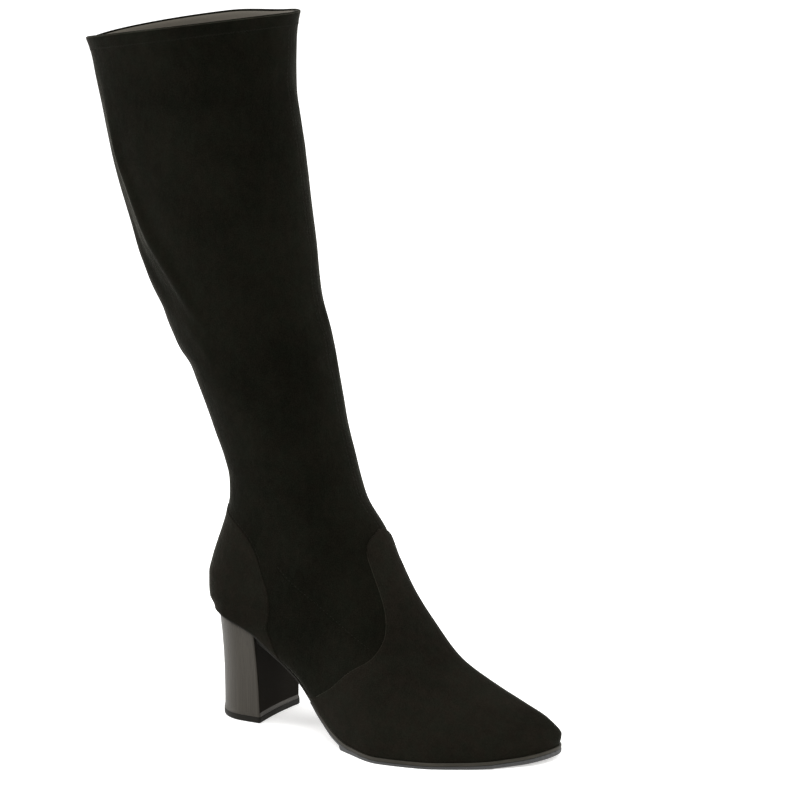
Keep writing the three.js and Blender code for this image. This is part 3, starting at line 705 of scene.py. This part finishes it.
# Lining: the inner face, from the collar down to the sock
def lining():
    angles = skin.angles[::2]
    levels = skin.levels[::2]
    inside = skin.at(angles[None, :], levels[:, None], -WALL)
    under = skin.at(angles[None, :], levels[::-1, None], -WALL + 0.7)
    sheet("shaft_lining", np.concatenate([inside, under]), LINING)


# Panels that lie over the upper, with rounded lapped edges
PANEL_HEIGHT = 0.45
PANEL_ROUND = 0.7
TONGUE_RAISE = 0.75
STITCH_IN = 1.55  # from a panel's edge
STITCH_OVER = 0.37  # above the upper


def panel(name, angle, level, raised_from=COLLAR, slot=None):
    """A patch over the face, tucked under at the feather edge."""
    place = skin.at(angle, level)
    edge = np.concatenate([place[:, 0], place[-1], place[::-1, -1]])
    distance, _ = way_to(place.reshape(-1, 3), edge[::2])
    distance = distance.reshape(place.shape[:2])
    lift = np.sqrt(np.clip(1 - (1 - np.clip(distance / PANEL_ROUND, 0, 1)) ** 2, 0, 1))
    plump = 0.08 * np.exp(-((distance - 2.6) / 1.6) ** 2)
    stitched = -0.05 * np.exp(-((distance - 1.5) / 0.4) ** 2)
    height = PANEL_HEIGHT + TONGUE_RAISE * ease(raised_from, raised_from + 0.7, level)
    rows = skin.at(angle, level, -0.05 + (height + 0.05) * lift + plump + stitched)
    tuck = skin.at(angle[:1], level[:1], 0.2)
    tuck[..., 2] -= 0.15
    return sheet(name, np.concatenate([tuck, rows]), PANEL, closed=False, slot=slot)


def mirrored(section):
    return [(-sideways, out) for sideways, out in section][::-1]


def crowded(count, near, reach):
    """Parts from 0 to 1, close together at both ends."""
    first = np.linspace(0, near, reach)
    middle = np.linspace(near, 1 - near, count)[1:-1]
    return np.concatenate([first, middle, 1 - first[::-1]])


vamp = VAMP.curves()
counter_edge = COUNTER.curve("angle")
counter_top = COUNTER_TOP.curve("level")


def vamp_panel():
    levels = np.concatenate([np.linspace(0, 8.4, 150 // COARSE), np.linspace(8.4, 8.95, 22)[1:]])
    parts = crowded(150 // COARSE, 0.03, 16)
    low = vamp["lateral"](levels)[:, None]
    high = vamp["medial"](levels)[:, None]
    angle = np.pi * mix(low, high, parts[None, :])
    made = panel("vamp_panel", angle, np.broadcast_to(levels[:, None], angle.shape), raised_from=7.9)
    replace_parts(made, "vamp")
    levels = np.linspace(1.2, 8.3, 80)
    cut = [(-0.5, 0.3), (-0.35, 0.46), (-0.15, 0.4), (0.0, 0.25), (0.06, 0.0)]
    for side, section in (("lateral", cut), ("medial", mirrored(cut))):
        line = even(np.pi * vamp[side](levels), levels, 1.0)
        # the vamp's edge strips are lighter: painted highlight along the lapped edge
        strip("vamp_edge_" + side, line, section, EDGE_HIGHLIGHT_SUEDE, slot="vamp")


def counter_panel():
    levels = np.concatenate([np.linspace(0, 7.1, 90 // COARSE), np.linspace(7.1, 7.45, 14)[1:]])
    parts = crowded(110 // COARSE, 0.04, 16) * 2 - 1
    high = counter_top(np.abs(parts)) / counter_top(0)
    own = levels[:, None] * mix(1, high[None, :], ease(2, 7, levels)[:, None])
    angle = np.pi * parts[None, :] * counter_edge(levels)[:, None]
    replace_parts(panel("counter_panel", angle, own, slot="counter"), "counter")


# Hem: the collar's edge folded over, held by a zigzag
# Sections: millimetres below the rim, and outwards
HEM_SECTION = [
    (10.4, -0.04), (9.8, 0.0), (9.1, 0.04), (8.4, 0.08), (7, 0.12), (5, 0.2), (3, 0.36), (1.6, 0.52),
    (0.8, 0.6), (0.2, 0.54), (-0.3, 0.28), (-0.62, -0.2), (-0.75, -0.9), (-0.5, -1.7), (0.1, -2.25),
    (1.2, -2.5), (4, -2.45), (8, -2.5), (9.4, -2.5), (9.8, -2.3), (9.9, -1.9), (9.7, -1.6)]
RIM_EDGE = [(0.16, 0.5), (0.08, 0.58), (-0.12, 0.5), (-0.32, 0.32), (-0.38, 0.2), (-0.3, 0.14)]
FACING = [(9.6, -2.3), (9.4, -2.58), (7, -2.62), (3, -2.62), (0.9, -2.6), (0.6, -2.42)]
ZIGZAGS = 190
ZIGZAG_DOWN = (6.6, 8.0)


def hem():
    angles = round_angles(480)
    reach = np.linalg.norm(skin.read(skin.rise, angles, np.full(480, 21.9)), axis=1)
    wave = 0.12 * np.sin(angles * 9) + 0.1 * np.sin(angles * 23 + 1)

    def rim(down, out):
        return skin.at(angles, COLLAR - down / reach, out)

    rows = []
    for down, out in HEM_SECTION:
        soft = 1.5 * wave * np.clip(down / 9, 0, 1)
        rows.append(rim(down + soft, out + (0.5 * wave if out > 0.3 else 0)))
    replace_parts(sheet("hem_fold", rows, HEM), "hem_band")
    # the rim's edge strip is lighter: painted highlight along the collar's top edge
    sheet("rim_edge", [rim(down, out + 0.5 * wave) for down, out in RIM_EDGE], EDGE_HIGHLIGHT_SUEDE)
    sheet("collar_facing", [rim(down, out) for down, out in FACING], LINING)
    zigzag(angles, reach)


def zigzag(angles, reach):
    turns = round_angles(ZIGZAGS * 2)
    level = COLLAR - np.resize(ZIGZAG_DOWN, len(turns)) / np.interp(turns, angles, reach)
    points = []
    faces = []
    place = skin.at(turns, level, 0.12)
    out = unit(skin.read(skin.out, turns, level))
    for i, (a, b) in enumerate(zip(place, np.roll(place, -1, 0))):
        ring = thread_ring(unit(np.cross(out[i], unit(b - a))), out[i], 0.09)
        sunk = ring * 0.3 - out[i] * 0.2
        faces += net(4, SIDES, round_columns=True, start=len(points) * 4 * SIDES)
        points.append(np.concatenate([a + sunk, mix(a, b, 0.2) + ring, mix(a, b, 0.8) + ring, b + sunk]))
    piece("hem_zigzag", np.concatenate(points), faces, THREAD)


# Seams in the shaft: two low rolls with a groove between them, and stitches in the groove's sides
HALF_ROLLS = [(-3.6, -0.04), (-2.6, 0.02), (-1.7, 0.05), (-0.9, 0.06), (-0.4, 0.03), (-0.12, -0.08)]
HALF_GROOVE = [(-2.2, -0.08), (-1.5, 0.03), (-0.8, 0.09), (-0.3, 0.05), (-0.08, -0.15)]
ROLLS = HALF_ROLLS + mirrored(HALF_ROLLS)
GROOVE = HALF_GROOVE + mirrored(HALF_GROOVE)


def seams():
    front = path([(1.0, 8.7), (1.0, 12), (1.0, 16), (1.0, 21.5)])
    back = path([(0.0, 7.2), (0.0, 11), (0.0, 16), (0.0, 21.5)])
    levels = np.linspace(13.95, 21.5, 30)
    side = even(np.pi * SIDE_SEAM.curve("angle")(levels), levels, 1.0)
    quarter = path([(0.43, 6.62), (0.448, 6.52), (0.529, 6.08), (0.603, 5.59), (0.674, 5.15)])
    strip("front_seam", front, ROLLS, SUEDE)
    strip("back_seam", back, ROLLS, SUEDE)
    strip("side_seam", side, GROOVE, SUEDE)
    strip("quarter_seam", quarter, GROOVE, SUEDE)
    rows = []
    for line in (front, back):
        for sideways in (-1.5, 1.5):
            rows.append((*skin.aside(*line, sideways), 0.02))
    rows.append((*skin.aside(*side, -1.2), 0.03))
    rows.append((*skin.aside(*quarter, 0.9), 0.06))
    stitches("shaft_stitches", rows, 2.6)


def panel_stitches():
    rows = []
    levels = np.linspace(0.15, 8.7, 120)
    for side, sideways in (("lateral", -STITCH_IN), ("medial", STITCH_IN)):
        rows.append((*skin.aside(np.pi * vamp[side](levels), levels, sideways), STITCH_OVER))
    parts = np.linspace(-1, 1, 120)
    top = (np.pi * parts * counter_edge(counter_top(0)), counter_top(np.abs(parts)))
    a, b = skin.aside(*top, STITCH_IN)
    keep = np.abs(parts) < 0.985
    rows.append((a[keep], b[keep], STITCH_OVER))
    levels = np.linspace(0.15, 6.9, 90)
    for side in (-1, 1):
        own = levels * mix(1, counter_top(1) / counter_top(0), ease(2, 7, levels))
        line = skin.aside(side * np.pi * counter_edge(levels), own, side * STITCH_IN)
        rows.append((*line, STITCH_OVER))
    stitches("panel_stitches", rows, 2.5)


# Zip: tape, coil, lips with their stitches, slider and pull tab
ZIP_BOTTOM = 2.0
ZIP_TOP = 13.1
LIP = [(2.3, -0.3), (2.35, 0.25), (2.6, 0.55), (3.1, 0.62), (3.8, 0.5), (4.4, 0.4), (5.6, 0.42),
       (6.3, 0.25), (6.9, -0.3)]
SLIDER_LEVEL = 13.55
HALF_TAPE = [(-3, 0.0), (-2.6, 0.12), (-1.2, 0.2)]
COIL_PITCH = 1.3
COIL_WIRE = 0.27


def zip_parts():
    levels = np.linspace(ZIP_BOTTOM + 0.1, ZIP_TOP + 0.1, 120)
    line = even(np.pi * zip_line(levels), levels, 1.0)
    strip("zip_tape", line, HALF_TAPE + [(0, 0.24)] + mirrored(HALF_TAPE), TAPE)
    long = np.linspace(ZIP_BOTTOM - 0.1, ZIP_TOP + 1.15, 140)
    lips = even(np.pi * zip_line(long), long, 1.0)
    strip("zip_lip_front", lips, LIP, SUEDE)
    strip("zip_lip_back", lips, mirrored(LIP), SUEDE)
    rows = [(*skin.aside(*lips, sideways), 0.42) for sideways in (5.0, -5.0)]
    stitches("zip_stitches", rows, 2.4, 0.14)
    coil(line)


def coil(line):
    angle, level = line
    fine = np.linspace(0, len(angle) - 1, (len(angle) - 1) * 9 + 1)
    index = np.arange(len(angle))
    angle = np.interp(fine, index, angle)
    level = np.interp(fine, index, level)
    place = skin.at(angle, level)
    _, across, out = skin.frames(angle, level)
    run = np.concatenate([[0], np.cumsum(np.linalg.norm(np.diff(place, axis=0), axis=1))])
    points = []
    faces = []
    for side in (-1, 1):
        phase = 2 * np.pi * run / COIL_PITCH + (0 if side < 0 else np.pi)
        wire = (place + across * (side * 0.72 + 1.12 * np.cos(phase))[:, None]
                + out * (0.88 + 0.4 * np.sin(phase))[:, None])
        forward = unit(np.gradient(wire, axis=0))
        one = unit(np.cross(forward, out))
        two = np.cross(one, forward)
        tube = wire[:, None, :] + thread_ring(one, two, COIL_WIRE)
        start = sum(len(p) for p in points)
        points.append(tube.reshape(-1, 3))
        faces += net(len(wire), SIDES, round_columns=True, start=start)
    made = piece("zip_coil_teeth", np.concatenate(points), faces, COIL)
    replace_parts(made, "zip_coil")


class Bench:
    """A flat place to build on: points of x, y and z are put where its axes say."""

    def __init__(self, origin, x, y, z):
        self.origin = origin
        self.axes = np.array([x, y, z])

    def put(self, points):
        return self.origin + np.asarray(points) @ self.axes


def slider_bench():
    level = SLIDER_LEVEL
    angle = np.pi * float(zip_line(level))
    near = 0.035
    turn = face(angle + near, level) - face(angle - near, level)
    rise = face(angle, level + 0.15) - face(angle, level - 0.15)
    out = unit(np.cross(turn, rise))
    across = unit(np.cross([0, 0, 1], out))
    up = np.cross(out, across)
    return Bench(face(angle, level) + out * (GAP + 0.25), across, up, out)


def outline(corners, radius, steps=5):
    """A closed line round corners, each rounded off."""
    corners = np.array(corners, float)
    points = []
    for i, corner in enumerate(corners):
        before = unit(corners[i - 1] - corner)
        after = unit(corners[(i + 1) % len(corners)] - corner)
        reach = min(radius, 0.45 * np.linalg.norm(corners[i - 1] - corner),
                    0.45 * np.linalg.norm(corners[(i + 1) % len(corners)] - corner))
        a = corner + before * reach
        b = corner + after * reach
        for t in np.linspace(0, 1, steps):
            points.append(mix(mix(a, corner, t), mix(corner, b, t), t))
    return np.array(points)


def inset(line, distance):
    """The closed line moved inwards; the line runs anticlockwise."""
    forward = unit(np.roll(line, -1, 0) - np.roll(line, 1, 0))
    return line + np.stack([-forward[:, 1], forward[:, 0]], 1) * distance


def plate(name, bench, line, low, high, bevel, caps=None):
    """A flat metal plate of an outline with rounded edges."""
    levels = [(low, bevel), (low + bevel * 0.3, bevel * 0.3), (low + bevel, 0), (high - bevel, 0),
              (high - bevel * 0.3, bevel * 0.3), (high, bevel)]
    rings = []
    for z, d in levels:
        moved = inset(line, d)
        rings.append(bench.put(np.column_stack([moved, np.full(len(moved), z)])))
    return solid_loops(name, rings, METAL, caps)


def slider(bench):
    body = [(-2.48, -5.5), (2.48, -5.5), (4.0, 1.375), (3.6, 4.4), (2.0, 5.5), (-2.0, 5.5), (-3.6, 4.4),
            (-4.0, 1.375)]
    line = outline(body, 1.4)
    bottom = plate("slider_back", bench, line, 0.0, 0.8, 0.2, ENAMEL)
    plate("slider_core", bench, inset(line, 0.9), 0.7, 1.5, 0.1)
    plate("slider_front", bench, line, 1.4, 2.4, 0.3, ENAMEL)
    arch = [(-3.5, 1.8), (-2.6, 1.8), (-2.6, 4.3), (-2.1, 4.8), (2.1, 4.8), (2.6, 4.3), (2.6, 1.8),
            (3.5, 1.8), (3.5, 4.6), (2.4, 5.7), (-2.4, 5.7), (-3.5, 4.6)]
    turned = Bench(bench.origin, bench.axes[1], bench.axes[2], bench.axes[0])
    plate("slider_bridge", turned, outline(arch, 0.7), -1.3, 1.3, 0.22, ENAMEL)
    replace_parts(bottom, "zip_slider")


def pull_tab(bench):
    """The tab hangs from the pin under the bridge: a plated rim with enamel in it, slotted above."""
    hinge = bench.put([(0, 0, 3.6)])[0]
    across = bench.axes[0]
    up = np.array([0.0, 0.0, 1.0])
    hang = Bench(hinge, across, up, np.cross(across, up))
    half = 0.65
    wide = 3.75
    low = half - 24.5
    slot_wide = 1.85
    slot_low = -half - 8.5
    centre = np.array([0, (slot_low - half) / 2])
    outer = outline([(-wide, low), (wide, low), (wide, half), (-wide, half)], 1.5, 8)
    slot = outline([(-slot_wide, slot_low), (slot_wide, slot_low), (slot_wide, -half),
                    (-slot_wide, -half)], 0.8, 8)
    turns = np.linspace(-np.pi, np.pi, 193)[:-1]

    def seen(line, distance):
        """The inset outline, with its points at even turns round the slot's centre."""
        moved = inset(line, distance)
        dense = np.concatenate([mix(moved, np.roll(moved, -1, 0), t) for t in np.linspace(0, 1, 61)[:-1]])
        away = dense - centre
        angles = np.arctan2(away[:, 1], away[:, 0])
        order = np.argsort(angles)
        reach = np.interp(turns, angles[order], np.linalg.norm(away, axis=1)[order], period=2 * np.pi)
        return centre + np.stack([np.cos(turns), np.sin(turns)], 1) * reach[:, None]

    def ring(name, sections, finish):
        rows = []
        for line, distance, z in sections:
            flat = seen(line, distance)
            rows.append(hang.put(np.column_stack([flat, np.full(len(flat), z)])))
        return sheet(name, rows, finish, round_rows=True, body="zip_pull")

    outside = [(outer, 0, half - 0.28), (outer, 0.06, half - 0.1), (outer, 0.25, half), (outer, 0.5, half),
               (outer, 0.62, half - 0.12)]
    inside = [(slot, -0.42, half - 0.12), (slot, -0.3, half), (slot, -0.15, half), (slot, 0, half - 0.2)]
    front = outside + inside
    back = [(line, distance, -z) for line, distance, z in front[::-1]]
    rim = ring("pull_rim", front + back, METAL)
    for name, side in (("pull_enamel_front", 1), ("pull_enamel_back", -1)):
        z = side * half
        near = side * (half - 0.14)
        ring(name, [(outer, 0.6, near), (outer, 0.68, z * 0.96), (outer, 1.0, z * 1.01),
                    (slot, -0.75, z * 1.01), (slot, -0.48, z * 0.96), (slot, -0.4, near)], ENAMEL)
    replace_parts(rim, "zip_pull")


# Sole, half sole, heel block, top lift and sock
def feather_loop(angles):
    """The feather edge: its points and the flat direction outwards."""
    edge = base.at(angles, 0.0)
    out = base.read(base.out, angles, np.zeros_like(angles))
    out[:, 2] = 0
    return edge, unit(out)


def board_thickness(x):
    return np.minimum(sole["thickness"](x), mix(1.5, 2.1, ease(20, 60, x)))


def outsole_board():
    edge, out = feather_loop(round_angles(360))
    x = edge[:, 0]
    section = [(1, 3.0), (1, 0.7), (0.96, 0.3), (0.85, 0.05), (0.7, 0), (0.2, 0), (0.08, 0.1), (0, 0.45),
               (0, 3.0)]
    rings = []
    for part, inward in section:
        ring = edge + out * (sole["edge"](x) - inward)[:, None]
        ring[:, 2] = np.maximum(0.4, feather(ring[:, 0]) - GAP - part * board_thickness(x))
        rings.append(ring)
    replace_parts(solid_loops("outsole_board", rings, EDGE), "outsole")


def half_sole():
    """The thicker sole under the forefoot, from its straight breast edge to the toe."""
    edge, out = feather_loop(round_angles(720))
    keep = edge[:, 0] > HALF_SOLE_FROM
    edge = edge[keep]
    out = out[keep]
    x = edge[:, 0]
    board = board_thickness(x)
    across = np.linspace(0, 1, 40)[1:-1, None]
    breast = mix(edge[-1], edge[0], across)
    breast_out = np.broadcast_to([-1.0, 0, 0], breast.shape)
    x_all = np.concatenate([x, breast[:, 0]])
    place = np.concatenate([edge, breast])
    outward = np.concatenate([out, breast_out])
    over = np.concatenate([sole["edge"](x), np.zeros(len(breast))])
    board_all = np.concatenate([board, np.full(len(breast), board.min())])
    full = np.maximum(sole["thickness"](x_all), board_all + 0.9)

    section = [(1, 3.5), (1, 0.8), (0.94, 0.35), (0.8, 0.08), (0.6, 0), (0.2, 0), (0.06, 0.1), (0, 0.5),
               (0, 3.5)]
    rings = []
    for part, inward in section:
        ring = place + outward * (over - inward)[:, None]
        x = ring[:, 0]
        top = feather(x) - GAP - board_all - 0.02
        low = np.maximum(0, feather(x) - GAP - full)
        low = np.where((x > FLAT_TREAD[0]) & (x < FLAT_TREAD[1]), 0, low)
        ring[:, 2] = mix(top, low, part)
        rings.append(ring)
    solid_loops("half_sole", rings, TREAD)


def heel_loop(part, inward):
    """The heel's D-shaped outline at a part of its height."""
    breast = heel["breast"](part) - inward
    back = heel["back"](part) + inward
    centre = mix(back, breast, 0.62)
    lateral = heel["lateral"](part) - inward
    medial = heel["medial"](part) - inward
    a = np.linspace(0, 1, 120) * np.pi / 2
    round_x = centre - (centre - back) * np.cos(a)
    swell = np.sin(a) ** 0.92
    left = np.column_stack([round_x, -lateral * swell])
    right = np.column_stack([round_x, medial * swell])[::-1][:-1]
    corner = 0.7
    reach = np.linspace(0, 1, 16)[1:]
    side_x = mix(centre, breast - corner, reach)
    left_side = np.column_stack([side_x, -lateral * mix(1, HEEL_TAPER, reach)])
    right_side = np.column_stack([side_x, medial * mix(1, HEEL_TAPER, reach)])[::-1]
    across = np.linspace(0, 1, 48)
    y = mix(-lateral * HEEL_TAPER + corner, medial * HEEL_TAPER - corner, across)
    front = np.column_stack([breast - HEEL_HOLLOW * np.sin(np.pi * across), y])
    return np.concatenate([left, left_side, front, right_side, right])


def heel_height(x, part):
    """Height at a part of the way from the top lift to the heel's seat."""
    return mix(HEEL_LOW, feather(x) - SEAT_PLATE - GAP, part)


def heel_stacked():
    section = [(0, 0.15 - LIFT_RIM), (0.003, -LIFT_RIM), (0.015, -0.4), (0.032, -0.12), (0.042, 0),
               (0.06, 0), (0.2, 0), (0.4, 0), (0.6, 0), (0.8, 0), (0.95, 0), (0.985, 0.05), (1, 0.4)]
    rings = []
    for part, inward in section:
        flat = heel_loop(part, inward)
        rings.append(np.column_stack([flat, heel_height(flat[:, 0], part)]))
    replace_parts(solid_loops("heel_stacked", rings, STACK), "heel_block")


def lift_block():
    section = [(0, 0.4), (0.15, 0.0), (0.5, -0.3), (0.9, -LIFT_RIM), (LIFT_HEIGHT - 0.35, -LIFT_RIM),
               (LIFT_HEIGHT - 0.08, 0.1 - LIFT_RIM), (LIFT_HEIGHT, 0.3 - LIFT_RIM)]
    rings = []
    for z, inward in section:
        flat = heel_loop(0, inward)
        rings.append(np.column_stack([flat, np.full(len(flat), float(z))]))
    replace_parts(solid_loops("lift_block", rings, LIFT), "top_lift")


def heel_front():
    """The covering glued on the heel's front face, a little short of its edges."""
    rows = []
    across = np.concatenate([[0.0], np.linspace(0.004, 0.996, 40), [1.0]])
    middle = [(part, 0.16) for part in np.linspace(0.06, 0.96, 14)]
    section = [(0.045, -0.1), (0.048, 0.14), *middle, (0.975, -0.1)]
    for part, lift in section:
        left = -heel["lateral"](part) * HEEL_TAPER + 0.55
        right = heel["medial"](part) * HEEL_TAPER - 0.55
        x = heel["breast"](part) - HEEL_HOLLOW * np.sin(np.pi * across) + lift
        x[[0, -1]] -= 0.25
        rows.append(np.column_stack([x, mix(left, right, across), heel_height(x, part)]))
    sheet("heel_front", rows, COVER, closed=False)


def sock():
    """The insole: soft edge, slight crown."""
    edge, out = feather_loop(round_angles(240))
    rings = []
    section = [(2.0, 0.0), (0.3, 0.0), (0.02, 0.4), (0, 1.1), (0.15, 1.6), (0.6, 1.85), (2.5, 1.95)]
    for inward, lift in section:
        ring = edge - out * (WALL + GAP + 0.3 + inward)
        ring[:, 2] = feather(ring[:, 0]) + lift
        rings.append(ring)
    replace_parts(solid_loops("sock_board", rings, SOCK), "insole")


upper_shell()
lining()
vamp_panel()
counter_panel()
hem()
seams()
panel_stitches()
zip_parts()
bench = slider_bench()
slider(bench)
pull_tab(bench)
outsole_board()
half_sole()
heel_stacked()
heel_front()
lift_block()
sock()


# Floor, light and camera
FOCAL_PIXELS = 3911
PHOTO_PIXELS = 790
SENSOR = 36
CAMERA_TURN = math.radians(30)
CAMERA_TILT = math.radians(13)
CAMERA_AWAY = 2.4
CAMERA_AIM = (0.0793, 0.0458, 0.2012)
LIGHT_AIM = (0.05, 0, 0.2)
FLOOR_HALF = 6.0


def floor():
    mesh = bpy.data.meshes.new("floor")
    corners = [(FLOOR_HALF * x, FLOOR_HALF * y, 0) for x, y in ((-1, -1), (1, -1), (1, 1), (-1, 1))]
    mesh.from_pydata(corners, [], [(0, 1, 2, 3)])
    made = bpy.data.objects.new("floor", mesh)
    bpy.context.scene.collection.objects.link(made)
    finish = Finish("floor_white", Specular_IOR_Level=0.0, Emission_Color=(1, 0.99, 0.97, 1),
                    Emission_Strength=0.5)
    finish.feed("Roughness", 1.0)
    finish.feed("Base Color", finish.between(finish.grain(3), grey(0.78), grey(0.8)))
    mesh.materials.append(finish.material)


def area(name, place, size, power):
    light = bpy.data.lights.new(name, "AREA")
    light.shape = "RECTANGLE"
    light.size, light.size_y = size
    light.energy = power
    made = bpy.data.objects.new(name, light)
    made.location = place
    made.rotation_euler = (Vector(LIGHT_AIM) - Vector(place)).to_track_quat("-Z", "Y").to_euler()
    bpy.context.scene.collection.objects.link(made)


def studio():
    world = bpy.data.worlds.new("white_room")
    world.use_nodes = True
    background = world.node_tree.nodes["Background"]
    background.inputs["Color"].default_value = (1, 1, 1, 1)
    background.inputs["Strength"].default_value = 1.0
    scene = bpy.context.scene
    scene.world = world
    scene.view_settings.view_transform = "Standard"
    area("left_box", (-1.9, -0.7, 0.9), (0.9, 1.6), 32)
    area("right_box", (1.3, 1.0, 0.9), (0.8, 1.5), 18)
    area("top_box", (0.1, -0.3, 2.2), (1.6, 1.6), 34)


def camera():
    data = bpy.data.cameras.new("photo_camera")
    data.sensor_width = SENSOR
    data.lens = FOCAL_PIXELS / PHOTO_PIXELS * SENSOR
    data.clip_start = 0.05
    data.clip_end = 60
    made = bpy.data.objects.new("photo_camera", data)
    level = math.cos(CAMERA_TILT)
    back = Vector((math.sin(CAMERA_TURN) * level, -math.cos(CAMERA_TURN) * level, math.sin(CAMERA_TILT)))
    made.location = Vector(CAMERA_AIM) + back * CAMERA_AWAY
    made.rotation_mode = "QUATERNION"
    made.rotation_quaternion = (-back).to_track_quat("-Z", "Y")
    bpy.context.scene.collection.objects.link(made)
    bpy.context.scene.camera = made


floor()
studio()
camera()
